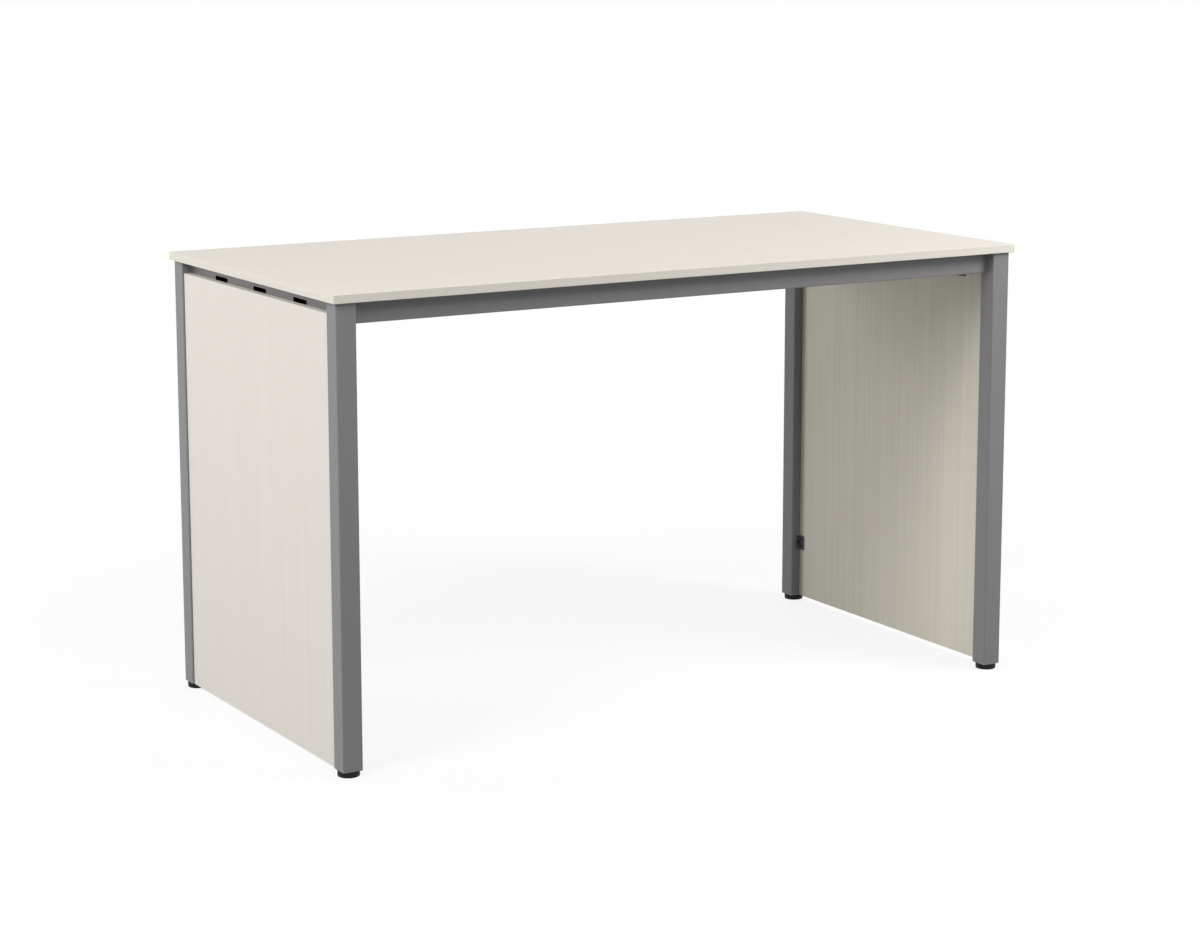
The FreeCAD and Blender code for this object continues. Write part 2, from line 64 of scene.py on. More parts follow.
# %% Name the corners and find the leg centres
MM = 0.001
CORNERS = ("front_left", "front_right", "back_left", "back_right")


def middle_of(name):
    """The centre of a CAD piece's box."""
    low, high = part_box(name)
    return (low + high) / 2


leg_centres = {corner: middle_of("leg_" + corner) for corner in CORNERS}
for corner, centre in leg_centres.items():
    print("leg", corner, "stands at", round(centre.x, 4), round(centre.y, 4))

# %% [markdown]
# ## Nodes
#
# A finish is a Principled shader with a few patterns wired into it. Values that are the same all over the surface
# are written on the shader's own sockets, and the rest comes from other nodes. In the editor a node is added by
# hand and joined by dragging. Three small helpers do the same here, so each finish below reads like a recipe.

# %% Write the helpers that add and join nodes
def new_finish(name, **values):
    """A material and its shader; each value goes on the socket of that name, with _ for a space."""
    material = bpy.data.materials.new(name)
    material.use_nodes = True
    shader = material.node_tree.nodes["Principled BSDF"]
    for socket, value in values.items():
        shader.inputs[socket.replace("_", " ")].default_value = value
    return material, shader


def add_node(material, kind, values=None, **settings):
    """A node of one kind, with its settings and the values of its sockets by name or number."""
    made = material.node_tree.nodes.new(kind)
    for key, value in settings.items():
        setattr(made, key, value)
    for socket, value in (values or {}).items():
        made.inputs[socket].default_value = value
    return made


def wire(material, source, target):
    """Joins an output, or a plain value, to an input."""
    if isinstance(source, bpy.types.NodeSocket):
        material.node_tree.links.new(source, target)
    else:
        target.default_value = source


print("node helpers: new_finish, add_node and wire")

# %% [markdown]
# ## Patterns
#
# Patterns read object coordinates, which are metres in the table's own frame, so a pattern keeps its real size
# and stays put on the piece. Stretching the noise differently along X, Y and Z turns round blotches into wood
# grain, so one helper serves every finish.

# %% Write the helpers for patterns
def even(cells):
    """The same number of cells per metre along all three axes."""
    return [cells] * 3


def stretched_place(material, cells, shift=(0.0, 0.0, 0.0)):
    """Object coordinates times the cells per metre along X, Y and Z, then moved by the shift."""
    place = add_node(material, "ShaderNodeTexCoord")
    stretch = add_node(material, "ShaderNodeMapping", {"Scale": cells, "Location": shift})
    wire(material, place.outputs["Object"], stretch.inputs["Vector"])
    return stretch.outputs["Vector"]


def noise_value(material, cells, detail, shift=(0.0, 0.0, 0.0)):
    """Noise from 0 to 1: cells gives how many blotches a metre holds along X, Y and Z."""
    noise = add_node(material, "ShaderNodeTexNoise", {"Scale": 1.0, "Detail": detail})
    wire(material, stretched_place(material, cells, shift), noise.inputs["Vector"])
    return noise.outputs["Fac"]


print("an even pattern with a blotch in every 10 mm:", even(1 / (10 * MM)), "cells a metre")

# %% [markdown]
# ## Arithmetic and relief
#
# Noise stays near its middle: nearly all of it lies between 0.3 and 0.7. A pattern that has to reach both of its
# ends is spread from that range. Patterns can also be added and multiplied, one node for each step. Height is a
# pattern too: as bump it bends the shading as real dimples and pores do, which is enough for dents of a few
# hundredths of a millimetre.

# %% Write the helpers for arithmetic and relief
NOISE_LOW, NOISE_HIGH = 0.3, 0.7


def calculated(material, operation, *values):
    """One step of arithmetic on up to three values."""
    step = add_node(material, "ShaderNodeMath", operation=operation)
    for socket, value in zip(step.inputs, values):
        wire(material, value, socket)
    return step.outputs[0]


def spread_to(material, value, low, high, new_low=0.0, new_high=1.0):
    """A value moved from one range to another and held inside it."""
    spread = add_node(material, "ShaderNodeMapRange", {1: low, 2: high, 3: new_low, 4: new_high})
    wire(material, value, spread.inputs[0])
    return spread.outputs[0]


def raise_surface(material, shader, height, depth, strength):
    """Bump: the height pattern, from 0 to 1, stands for a depth in millimetres."""
    bump = add_node(material, "ShaderNodeBump", {"Distance": depth * MM, "Strength": strength})
    wire(material, height, bump.inputs["Height"])
    wire(material, bump.outputs["Normal"], shader.inputs["Normal"])


print("noise is spread from", NOISE_LOW, "to", NOISE_HIGH)

# %% [markdown]
# ## Colours
#
# The CAD record gives each finish one colour. A real surface is never that even, so the finishes blend a slightly
# darker and a slightly lighter shade of it by a pattern.

# %% Write the helpers for colours
def blended(material, share, first, second):
    """A colour that goes from the first to the second as share goes from 0 to 1."""
    mix = add_node(material, "ShaderNodeMix", data_type="RGBA")
    wire(material, share, mix.inputs["Factor"])
    wire(material, first, mix.inputs[6])
    wire(material, second, mix.inputs[7])
    return mix.outputs[2]


def shade_of(colour, brightness):
    """A colour made lighter or darker, with its alpha."""
    return tuple(channel * brightness for channel in colour) + (1.0,)


def tinted(colour, tint):
    """A colour with each channel multiplied."""
    return [channel * share for channel, share in zip(colour, tint)]


record_colours = {slot["slot"]: slot["base_color"] for slot in frame["record"]["materials"]}
print("finishes in the record:", sorted(record_colours))

# %% [markdown]
# ## Grain
#
# The board's face is a pressed sheet printed with a pale, straight, very quiet grain: lines a few millimetres
# wide that run on for a metre, with wider soft bands and finer lines among them. A wood texture node would draw
# rings and knots, so the grain is noise stretched about a hundred times along one axis. Three such patterns,
# each with its own weight, add up to one tone.

# %% Write the grain
ALONG_X, ALONG_Y, ALONG_Z = range(3)
# Each pattern of the grain: cells per metre across it and along it, detail, shift, and weight in the tone.
GRAIN_PATTERNS = {
    "soft bands": (26.0, 0.35, 1.0, (0.0, 0.0, 0.0), 0.12),
    "lines": (150.0, 0.6, 2.0, (3.1, 1.7, 0.4), 0.8),
    "fine lines": (460.0, 3.0, 2.0, (0.2, 5.3, 2.9), 0.45),
}
TONE_LOW, TONE_HIGH = 0.385, 0.985


def grain_cells(axis, across, along):
    """Cells per metre that make noise run along one axis."""
    cells = even(across)
    cells[axis] = along
    return cells


def grain_tone(material, axis):
    """The tone of the grain from 0 to 1: the sum of each pattern times its weight, spread to both ends."""
    tone = 0.0
    for across, along, detail, shift, weight in GRAIN_PATTERNS.values():
        pattern = noise_value(material, grain_cells(axis, across, along), detail, shift)
        tone = calculated(material, "MULTIPLY_ADD", pattern, weight, tone)
    return spread_to(material, tone, TONE_LOW, TONE_HIGH)


print("patterns in the grain:", list(GRAIN_PATTERNS))

# %% [markdown]
# ## Laminate
#
# The grain runs along the worktop and up the end panels. Its lines differ by only a few percent, as on the real
# sheet. Short fine pores lie between them, a little darker and pressed in by a few hundredths of a millimetre.
# The grain looks quietest on the worktop and strongest on the inside of the panels, and the tints differ a
# little.
# These are lit and shaded copies of one sheet, each with its own contrast and tint painted to the light on its
# faces: the outside of the panels a little bluer, as painted cool light from the left, and their inside a little
# yellower with stronger grain, as painted shade.

# %% Make the three laminates
GRAIN_DARKER, GRAIN_LIGHTER = 0.06, 0.05
PORE_CELLS, PORE_CELLS_ALONG = 1500.0, 45.0
PORE_SHIFT = (7.7, 0.9, 4.1)
PORE_LOW, PORE_HIGH = 0.62, 0.74
PORE_SHARE = 0.07
PORE_TINT = (0.72, 0.66, 0.58)
PORE_SINK = -6.0
LAMINATE_RELIEF, LAMINATE_BUMP = 0.02, 0.5


def laminate_finish(name, colour, axis, contrast):
    """Straight-grained laminate: the tone goes from a darker to a lighter shade, and pores darken and dent it."""
    material, shader = new_finish(name, Roughness=0.5, IOR=1.48)
    tone = grain_tone(material, axis)
    darker = shade_of(colour, 1 - GRAIN_DARKER * contrast)
    lighter = shade_of(colour, 1 + GRAIN_LIGHTER * contrast)
    pore_cells = grain_cells(axis, PORE_CELLS, PORE_CELLS_ALONG)
    pores = noise_value(material, pore_cells, detail=1.0, shift=PORE_SHIFT)
    pore_mask = spread_to(material, pores, PORE_LOW, PORE_HIGH, 0.0, PORE_SHARE * contrast)
    pore_colour = shade_of(tinted(colour, PORE_TINT), 1.0)
    grain = blended(material, tone, darker, lighter)
    wire(material, blended(material, pore_mask, grain, pore_colour), shader.inputs["Base Color"])
    height = calculated(material, "MULTIPLY_ADD", pore_mask, PORE_SINK, tone)
    raise_surface(material, shader, height, LAMINATE_RELIEF, LAMINATE_BUMP)
    return material


# The tints and contrasts are painted light and shade on one laminate: a bluer copy for the cool-lit outside of
# the panels, and a yellower copy with stronger grain for their shaded inside.
WORKTOP_TINT, COOL_LIGHT_TINT, SHADE_TINT = (1.0, 0.99, 0.98), (1.0, 1.0, 1.02), (1.0, 1.0, 0.96)
laminate_colour = record_colours["laminate"]
worktop_laminate = laminate_finish(
    "worktop_laminate", tinted(laminate_colour, WORKTOP_TINT), ALONG_X, contrast=0.7)
cool_lit_outside_laminate = laminate_finish(
    "panel_laminate_outside_cool_lit", tinted(laminate_colour, COOL_LIGHT_TINT), ALONG_Z, contrast=0.8)
shaded_inside_laminate = laminate_finish(
    "panel_laminate_inside_shaded", tinted(laminate_colour, SHADE_TINT), ALONG_Z, contrast=1.6)
print("laminates:", worktop_laminate.name, cool_lit_outside_laminate.name, shaded_inside_laminate.name)

# %% [markdown]
# ## Edge band
#
# The raw edge of the board is covered by a thin strip glued on by machine, in the same colour. It has the same
# quiet grain along its length. It is a separate piece on the real board, so it gets its own material, with
# grain along X, Y or Z as the strip runs.

# %% Make the edge band for each direction
edge_bands = {
    axis: laminate_finish("edge_band_along_" + "xyz"[axis], record_colours["edge_band"], axis, contrast=0.7)
    for axis in (ALONG_X, ALONG_Y, ALONG_Z)}
print("edge bands:", [band.name for band in edge_bands.values()])

# %% [markdown]
# ## Backing sheet and chipboard
#
# The underside of the board is a plain sheet that keeps it from warping: slightly mottled, with no grain. Inside
# is chipboard, seen only if someone takes the table apart. Wood chips are flat flakes of mixed browns, so a
# Voronoi pattern, which splits space into cells with one colour each, suits them better than noise.

# %% Make the hidden faces of the board
MOTTLE_CELLS = 35.0
MOTTLE_DARKER, MOTTLE_LIGHTER = 0.93, 1.05
PAPER_CELLS = 900.0
PAPER_RELIEF, PAPER_BUMP = 0.02, 0.4
CHIP_CELLS = (260.0, 260.0, 700.0)
CHIP_DARKEST, CHIP_LIGHTEST = 0.6, 1.35
CHIP_RELIEF, CHIP_BUMP = 0.2, 0.6


def backing_finish(name, colour):
    """A plain paper sheet with a soft mottle."""
    material, shader = new_finish(name, Roughness=0.7)
    mottle = noise_value(material, even(MOTTLE_CELLS), detail=4.0)
    darker, lighter = shade_of(colour, MOTTLE_DARKER), shade_of(colour, MOTTLE_LIGHTER)
    wire(material, blended(material, mottle, darker, lighter), shader.inputs["Base Color"])
    paper = noise_value(material, even(PAPER_CELLS), detail=3.0)
    raise_surface(material, shader, paper, PAPER_RELIEF, PAPER_BUMP)
    return material


def chipboard_finish(name, colour):
    """Chips: flat cells about 4 mm long in mixed browns, each a random shade between the two ends."""
    material, shader = new_finish(name, Roughness=0.85)
    chips = add_node(material, "ShaderNodeTexVoronoi", {"Scale": 1.0})
    wire(material, stretched_place(material, CHIP_CELLS), chips.inputs["Vector"])
    grey = add_node(material, "ShaderNodeRGBToBW")
    wire(material, chips.outputs["Color"], grey.inputs[0])
    darkest, lightest = shade_of(colour, CHIP_DARKEST), shade_of(colour, CHIP_LIGHTEST)
    wire(material, blended(material, grey.outputs[0], darkest, lightest), shader.inputs["Base Color"])
    raise_surface(material, shader, chips.outputs["Distance"], CHIP_RELIEF, CHIP_BUMP)
    return material


backing = backing_finish("backing_sheet", record_colours["backing_sheet"])
chipboard = chipboard_finish("chipboard", record_colours["particleboard"])
print("hidden board finishes:", backing.name, chipboard.name)

# %% [markdown]
# ## Powder coat
#
# The frame is sprayed with dry powder and baked. The film is even in colour but not quite flat: it has a fine
# orange peel of about a millimetre, and the silver grey shade carries a little metal flake that glitters at
# close range. Soft, low noise gives the peel as bump, and very fine noise lightens single specks. The brackets
# that are fixed inside have the same coat in near black.

# %% Make the powder coats
CLOUD_CELLS = (9.0, 9.0, 3.0)
CLOUD_DARKER, CLOUD_LIGHTER = 0.965, 1.035
FLAKE_CELLS = 5200.0
FLAKE_LOW, FLAKE_HIGH = 0.66, 0.8
FLAKE_BRIGHTNESS = 1.9
PATCH_CELLS = 60.0
PATCH_SHIFT = (1.3, 0.2, 0.8)
PATCH_SWING = 0.03
PEEL_CELLS = 750.0
PEEL_RELIEF, PEEL_BUMP = 0.03, 0.35
SILVER_ROUGHNESS, SILVER_FLAKE = 0.46, 0.5
DARK_ROUGHNESS, DARK_FLAKE = 0.42, 0.2
DARK_TINT = (1.4, 1.4, 1.4)


def powder_coat(name, colour, roughness, flake_share):
    """Baked paint: an even colour with fine specks, and orange peel as bump."""
    material, shader = new_finish(name, IOR=1.42)
    cloud = noise_value(material, CLOUD_CELLS, detail=2.0)
    paint = blended(material, cloud, shade_of(colour, CLOUD_DARKER), shade_of(colour, CLOUD_LIGHTER))
    flake = noise_value(material, even(FLAKE_CELLS), detail=0.0)
    specks = spread_to(material, flake, FLAKE_LOW, FLAKE_HIGH, 0.0, flake_share)
    wire(material, blended(material, specks, paint, shade_of(colour, FLAKE_BRIGHTNESS)),
         shader.inputs["Base Color"])
    patches = noise_value(material, even(PATCH_CELLS), detail=2.0, shift=PATCH_SHIFT)
    wire(material, spread_to(material, patches, NOISE_LOW, NOISE_HIGH,
                             roughness - PATCH_SWING, roughness + PATCH_SWING),
         shader.inputs["Roughness"])
    peel = noise_value(material, even(PEEL_CELLS), detail=2.0)
    raise_surface(material, shader, peel, PEEL_RELIEF, PEEL_BUMP)
    return material


silver_colour = record_colours["frame_paint"]
silver_paint = powder_coat("silver_grey_powder_coat", silver_colour, SILVER_ROUGHNESS, SILVER_FLAKE)
dark_paint = powder_coat(
    "dark_powder_coat", tinted(record_colours["bracket_paint"], DARK_TINT), DARK_ROUGHNESS, DARK_FLAKE)
print("powder coats:", silver_paint.name, dark_paint.name)

# %% [markdown]
# ## Paint that stops at the slots, and painted shade inside the tube
#
# Each end rail is a tube with slots in its outer wall. Powder doesn't reach far into a tube, and the slots look
# fully dark, so the coat of these two rails stops at the edge of the slots. Inside, the colour is near black, far
# darker than bare steel: partly the real bare steel and partly painted shade, the dark of the closed tube seen
# through the slots. Distance from the tube's middle tells inside from outside, which needs no second material on
# the piece.

# %% Make the coat of the end rails
RAIL_WALL = 2.0
RAIL_SKIN = 0.3
# Near black: bare steel darkened further as painted shade inside the closed tube.
TUBE_INSIDE_BARE_AND_SHADED = (0.006, 0.005, 0.005, 1.0)


def bare_and_shaded_inside(material, middle, half_width, half_height):
    """Paint only on the outside of an end rail: dark bare steel within a block about each rail's middle.

    The inside is where both the distance from the rail's middle along X and the distance along Z are less than
    the half sizes, and there the colour is near black: bare steel, darkened further as painted shade of the
    closed tube. X is taken without its sign, so that one material serves both rails.
    """
    place = add_node(material, "ShaderNodeTexCoord")
    axes = add_node(material, "ShaderNodeSeparateXYZ")
    wire(material, place.outputs["Object"], axes.inputs[0])
    sideways, upward = calculated(material, "ABSOLUTE", axes.outputs["X"]), axes.outputs["Z"]
    inside = 1.0
    for value, centre, half in ((sideways, middle.x, half_width), (upward, middle.z, half_height)):
        offset = calculated(material, "ABSOLUTE", calculated(material, "SUBTRACT", value, centre))
        inside = calculated(material, "MULTIPLY", calculated(material, "LESS_THAN", offset, half), inside)
    base = material.node_tree.nodes["Principled BSDF"].inputs["Base Color"]
    paint = base.links[0].from_socket
    # Paints the inside near black: the bare steel and the painted shade of the closed tube.
    wire(material, blended(material, inside, paint, TUBE_INSIDE_BARE_AND_SHADED), base)


slotted_paint_and_tube_shade = powder_coat("powder_coat_and_tube_shade", silver_colour, SILVER_ROUGHNESS, SILVER_FLAKE)
rail_low, rail_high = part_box("right_end_rail")
rail_half = (rail_high - rail_low) / 2
bare_and_shaded_inside(
    slotted_paint_and_tube_shade, middle_of("right_end_rail"), rail_half.x - RAIL_SKIN * MM, rail_half.z - RAIL_WALL * MM)
print("end rails:", slotted_paint_and_tube_shade.name, "bare from", RAIL_SKIN, "mm under the side walls' faces")

# %% [markdown]
# ## Plated and bare steel
#
# The frame's bolts and the glide stems are zinc plated: bright, a little patchy and faintly blue. The screws that
# hold the dark brackets are plated black. The plates and nuts welded inside the legs are bare rolled steel,
# duller and streaked along the rolling direction. All are metal, so all of their colour is in the reflection.

# %% Make the metal finishes
PLATING_CELLS = even(700.0)
ROLLING_CELLS = (900.0, 60.0, 60.0)
STEEL_SWING = 0.07
SCRATCHES_PER_DRIFT = 4
SCRATCH_RELIEF, SCRATCH_BUMP = 0.01, 0.4


def steel_finish(name, colour, roughness, cells, contrast):
    """Metal whose brightness and roughness drift together, as plating or rolling marks do."""
    material, shader = new_finish(name, Metallic=1.0)
    drift = noise_value(material, cells, detail=3.0)
    darker, lighter = shade_of(colour, 1 - contrast), shade_of(colour, 1 + contrast)
    wire(material, blended(material, drift, darker, lighter), shader.inputs["Base Color"])
    wire(material, spread_to(material, drift, NOISE_LOW, NOISE_HIGH,
                             roughness + STEEL_SWING, roughness - STEEL_SWING),
         shader.inputs["Roughness"])
    scratches = noise_value(material, [SCRATCHES_PER_DRIFT * value for value in cells], detail=2.0)
    raise_surface(material, shader, scratches, SCRATCH_RELIEF, SCRATCH_BUMP)
    return material


zinc = steel_finish(
    "zinc_plate", record_colours["zinc_steel"], roughness=0.34, cells=PLATING_CELLS, contrast=0.1)
black_zinc = steel_finish(
    "black_zinc_plate", record_colours["black_zinc"], roughness=0.4, cells=PLATING_CELLS, contrast=0.15)
bare_steel = steel_finish(
    "rolled_steel", record_colours["bare_steel"], roughness=0.48, cells=ROLLING_CELLS, contrast=0.16)
print("metal finishes:", zinc.name, black_zinc.name, bare_steel.name)

# %% [markdown]
# ## Nylon
#
# The glide pads are black nylon with the fine, even grain that spark erosion leaves in their mould. One noise
# serves both the relief and the roughness, since the bottom of a dent is a little shinier than its edge.

# %% Make the nylon finish
NYLON_CELLS = 2600.0
NYLON_ROUGHNESS = (0.44, 0.6)
NYLON_RELIEF, NYLON_BUMP = 0.03, 0.5


def nylon_finish(name, colour):
    """Moulded nylon: a matt black with a fine grain in the surface."""
    material, shader = new_finish(name, Base_Color=shade_of(colour, 1.0), IOR=1.28)
    grain = noise_value(material, even(NYLON_CELLS), detail=2.0)
    wire(material, spread_to(material, grain, NOISE_LOW, NOISE_HIGH, *NYLON_ROUGHNESS),
         shader.inputs["Roughness"])
    raise_surface(material, shader, grain, NYLON_RELIEF, NYLON_BUMP)
    return material


nylon = nylon_finish("moulded_nylon", record_colours["glide_nylon"])
print("nylon finish:", nylon.name)

# %% [markdown]
# ## Dress the CAD pieces
#
# The record gives each CAD piece a material slot, such as laminate or frame_paint. One finish per slot is nearly
# enough. The laminate and the edge bands also need the right grain direction, which depends on the piece. The
# panels take the painted cool-lit and shaded copies of the laminate, and the two end rails need the coat that
# stops at their slots, with painted shade inside the tube. Those pieces are listed by name.

# %% Put a finish on every CAD piece
slot_finishes = {
    "backing_sheet": backing,
    "particleboard": chipboard,
    "frame_paint": silver_paint,
    "bracket_paint": dark_paint,
    "bare_steel": bare_steel,
    "zinc_steel": zinc,
    "black_zinc": black_zinc,
    "glide_nylon": nylon,
}
named_finishes = {
    "worktop_laminate": worktop_laminate,
    "worktop_edge_band_front": edge_bands[ALONG_X],
    "worktop_edge_band_back": edge_bands[ALONG_X],
    "worktop_edge_band_left": edge_bands[ALONG_Y],
    "worktop_edge_band_right": edge_bands[ALONG_Y],
}
for end in ("left", "right"):
    # The panels' outside takes the cool-lit copy of the laminate and their inside the shaded copy, as painted
    # light and shade.
    named_finishes[end + "_panel_outer_laminate"] = cool_lit_outside_laminate
    named_finishes[end + "_panel_inner_laminate"] = shaded_inside_laminate
    named_finishes[end + "_panel_edge_bands"] = edge_bands[ALONG_Z]
    named_finishes[end + "_end_rail"] = slotted_paint_and_tube_shade


def finish_for(name, slot):
    """The finish of a CAD piece, from its name where that is listed and from its slot elsewhere."""
    return named_finishes.get(name) or slot_finishes[slot]


def dress(piece, material):
    """Puts one material in all of a piece's material slots."""
    if not piece.material_slots:
        piece.data.materials.append(material)
    for place in piece.material_slots:
        place.material = material


for part in frame["record"]["subparts"]:
    dress(nodes[part["node"]], finish_for(part["node"], part["material_slot"]))

# %% [markdown]
# ## Surfaces from rings
#
# Turned and threaded parts are all one kind of surface: a stack of closed rings. A table of radii, with a row
# for each ring and a column for each angle, describes it completely. The ends are closed by a fan to a point on
# the axis. Building the whole table with numpy is fast, and each vertex has a known place. Rings that go up
# while their points go anticlockwise give faces that look outwards. Edges sharper than a small angle stay
# sharp, and the rest is shaded smooth.

# %% Write the ring surface helper
SHARP_ANGLE = 25.0
COLUMNS = 96
RING_ANGLES = 2 * np.pi * np.arange(COLUMNS) / COLUMNS
AXIS_RADIUS = 0.01


def ring_faces(rings):
    """The faces of a stack of rings: quads between each ring and the next, and a fan of triangles at each end."""
    index = np.arange(rings * COLUMNS).reshape(rings, COLUMNS)
    beside = np.roll(index, -1, axis=1)
    quads = np.stack([index[:-1], beside[:-1], beside[1:], index[1:]], axis=-1).reshape(-1, 4)
    first_end, last_end = rings * COLUMNS, rings * COLUMNS + 1
    first_fan = np.stack([np.full(COLUMNS, first_end), beside[0], index[0]], axis=-1)
    last_fan = np.stack([np.full(COLUMNS, last_end), index[-1], beside[-1]], axis=-1)
    return quads.tolist() + first_fan.tolist() + last_fan.tolist()


def ring_surface(name, radii, heights, centre):
    """A closed surface of rings about a vertical axis, from radii and heights in millimetres.

    The point of ring i at angle a is (radii[i, a] cos a, radii[i, a] sin a, heights[i, a]) from the centre on
    the floor, and a point on the axis closes each end.
    """
    points = np.stack(
        [radii * np.cos(RING_ANGLES), radii * np.sin(RING_ANGLES), heights], axis=-1).reshape(-1, 3)
    ends = [[0, 0, heights[0].mean()], [0, 0, heights[-1].mean()]]
    points = np.vstack([points, ends]) * MM + np.array((centre.x, centre.y, 0))
    mesh = bpy.data.meshes.new(name)
    mesh.from_pydata(points.tolist(), [], ring_faces(len(radii)))
    mesh.shade_smooth()
    mesh.set_sharp_from_angle(angle=math.radians(SHARP_ANGLE))
    piece = bpy.data.objects.new(name, mesh)
    bpy.context.scene.collection.objects.link(piece)
    return piece


print("ring surfaces have", COLUMNS, "columns")

# %% [markdown]
# ## Rounded profiles
#
# A turned part's outline is a line of corners, and most real corners are rounded. The Bevel modifier could round
# them on the mesh. Rounding the line first is simpler: the rings then lie just where the curve needs them.

# %% Write the profile helper
def rounded_profile(corners, steps):
    """A profile line with rounded corners.

    Each corner is (radius from the axis, height, rounding). A rounding is drawn as a curve that leaves one side
    and meets the next, with the corner as the middle control point of a quadratic Bezier curve.
    """
    points = np.array([corner[:2] for corner in corners], float)
    line = [points[:1]]
    share = np.linspace(0, 1, steps + 1)[:, None]
    for before, here, after, corner in zip(points, points[1:], points[2:], corners[1:]):
        if corner[2] == 0:
            line.append(here[None])
            continue
        enter = here + (before - here) / np.linalg.norm(before - here) * corner[2]
        leave = here + (after - here) / np.linalg.norm(after - here) * corner[2]
        line.append((1 - share) ** 2 * enter + 2 * share * (1 - share) * here + share ** 2 * leave)
    line.append(points[-1:])
    return np.vstack(line)


def round_rings(profile):
    """Rings with the same radius all round, one for each (radius, height) of the profile."""
    return [(np.full(COLUMNS, radius), np.full(COLUMNS, height)) for radius, height in profile]


square_corner = [(0, 0, 0), (4, 0, 1), (4, 4, 0)]
print("a square corner rounded by 1 mm:", rounded_profile(square_corner, steps=2).tolist())

# %% [markdown]
# ## Thread
#
# Each foot hangs on an M10 stem that screws into a nut inside the leg. A thread could be a Screw modifier, but as
# a ring surface it is one formula: the radius depends on height over pitch, less the angle in turns, so the
# crest climbs by one pitch in each turn to the right.

# %% Write the rings of the thread
THREAD_PITCH = 1.5
THREAD_DEPTH = 0.92
THREAD_FLANK = 1.25
THREAD_CREST = 0.125
ROWS_PER_PITCH = 8
LEAD_LENGTH = 1.0
STEM_RADIUS = 4.98
NECK_RADIUS = 4.85


def thread_radius(height):
    """The radius of a V thread at each of the ring's angles.

    The phase is height over pitch less the angle in turns, without its whole part. The valley rises evenly to
    the middle of the phase and falls again, cut flat at crest and root. The radius is the stem's radius less
    the valley times the thread's depth.
    """
    phase = (height / THREAD_PITCH - RING_ANGLES / (2 * np.pi)) % 1.0
    valley = np.clip(THREAD_FLANK * (1 - np.abs(2 * phase - 1)) - THREAD_CREST, 0, 1)
    return STEM_RADIUS - THREAD_DEPTH * valley


def thread_rings(bottom, top):
    """Thread that grows out of the neck in its first pitch and tapers into a pointed lead at the top."""
    count = int((top - bottom) / THREAD_PITCH * ROWS_PER_PITCH)
    rings = []
    for height in np.linspace(bottom, top, count + 1):
        limit = STEM_RADIUS - max(0.0, height - (top - LEAD_LENGTH))
        start = min(1.0, (height - bottom) / THREAD_PITCH)
        radii = NECK_RADIUS * (1 - start) + thread_radius(height) * start
        rings.append((np.minimum(radii, limit), np.full(COLUMNS, height)))
    return rings


print("thread: crest", STEM_RADIUS, "mm, root", round(STEM_RADIUS - THREAD_DEPTH, 2), "mm")

# %% [markdown]
# ## Hexagon
#
# A spanner turns the stem by a hexagon just above the pad. It is turned from a bar of hexagon steel, so its
# sides are flat and its corners are cut off by a cone at both faces. As a ring surface it is the smaller of two
# distances: the one to the six sides and the one to the cone.

# %% Write the rings of the hexagon
HEX_WIDTH = 17.0
HEX_FACE_SHARE = 0.96
HEX_CONE_ANGLE = 30
HEX_CONE_RINGS = 10


def collar_rings(bottom, top):
    """A hexagon collar, its corners cut by a cone at each face.

    The hexagon's radius is half its width over the cosine of the angle from the middle of the side. The cone
    starts a little inside the flats and widens, ring by ring, until it passes the corners. Each ring is the
    smaller of the cone and the hexagon.
    """
    flat_radius = HEX_WIDTH / 2
    hexagon = flat_radius / np.cos(RING_ANGLES % (np.pi / 3) - np.pi / 6)
    face_radius = flat_radius * HEX_FACE_SHARE
    corner_radius = flat_radius / math.cos(math.pi / 6)
    slope = math.tan(math.radians(HEX_CONE_ANGLE))
    rings = []
    for cone in np.linspace(face_radius, corner_radius, HEX_CONE_RINGS):
        rings.append((np.minimum(hexagon, cone), bottom + (cone - face_radius) * slope))
    mirrored = [(radii, bottom + top - height) for radii, height in reversed(rings)]
    return [(radii, np.full(COLUMNS, height)) for radii, height in rings + mirrored]


print("hexagon:", HEX_WIDTH, "mm across its flats, in", 2 * HEX_CONE_RINGS, "rings")

# %% [markdown]
# ## Glide stems
#
# The CAD stem is a plain rod, so the threaded piece replaces it. From the bottom it has a flange held in the pad,
# a neck, the hexagon and the thread. It rides on the body that turns, so that it screws with the joint.

# %% Make the threaded stems
FLANGE_RADIUS = 8.0
FLANGE_THICKNESS = 3.0
FLANGE_ROUNDING, FLANGE_STEPS = 0.4, 4
HEX_HEIGHT = 5.0
HEX_ABOVE_PAD = 0.5
THREAD_START = 0.4


def stem_piece(corner):
    """One threaded stem, which replaces the plain CAD rod."""
    low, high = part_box("glide_stem_" + corner)
    bottom, top = low.z / MM, high.z / MM
    flange_top = bottom + FLANGE_THICKNESS
    hex_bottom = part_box("glide_pad_" + corner)[1].z / MM + HEX_ABOVE_PAD
    hex_top = hex_bottom + HEX_HEIGHT
    flange = rounded_profile([
        (AXIS_RADIUS, bottom, 0),
        (FLANGE_RADIUS, bottom, FLANGE_ROUNDING),
        (FLANGE_RADIUS, flange_top, FLANGE_ROUNDING),
        (NECK_RADIUS, flange_top, 0),
        (NECK_RADIUS, hex_bottom, 0),
    ], FLANGE_STEPS)
    rings = round_rings(flange) + collar_rings(hex_bottom, hex_top)
    rings += round_rings([(NECK_RADIUS, hex_top)]) + thread_rings(hex_top + THREAD_START, top)
    radii, heights = (np.array(part) for part in zip(*rings))
    piece = ring_surface("threaded_stem_" + corner, radii, heights, leg_centres[corner])
    dress(piece, zinc)
    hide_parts("glide_stem_" + corner)
    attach(piece, "stem_" + corner)
    return piece


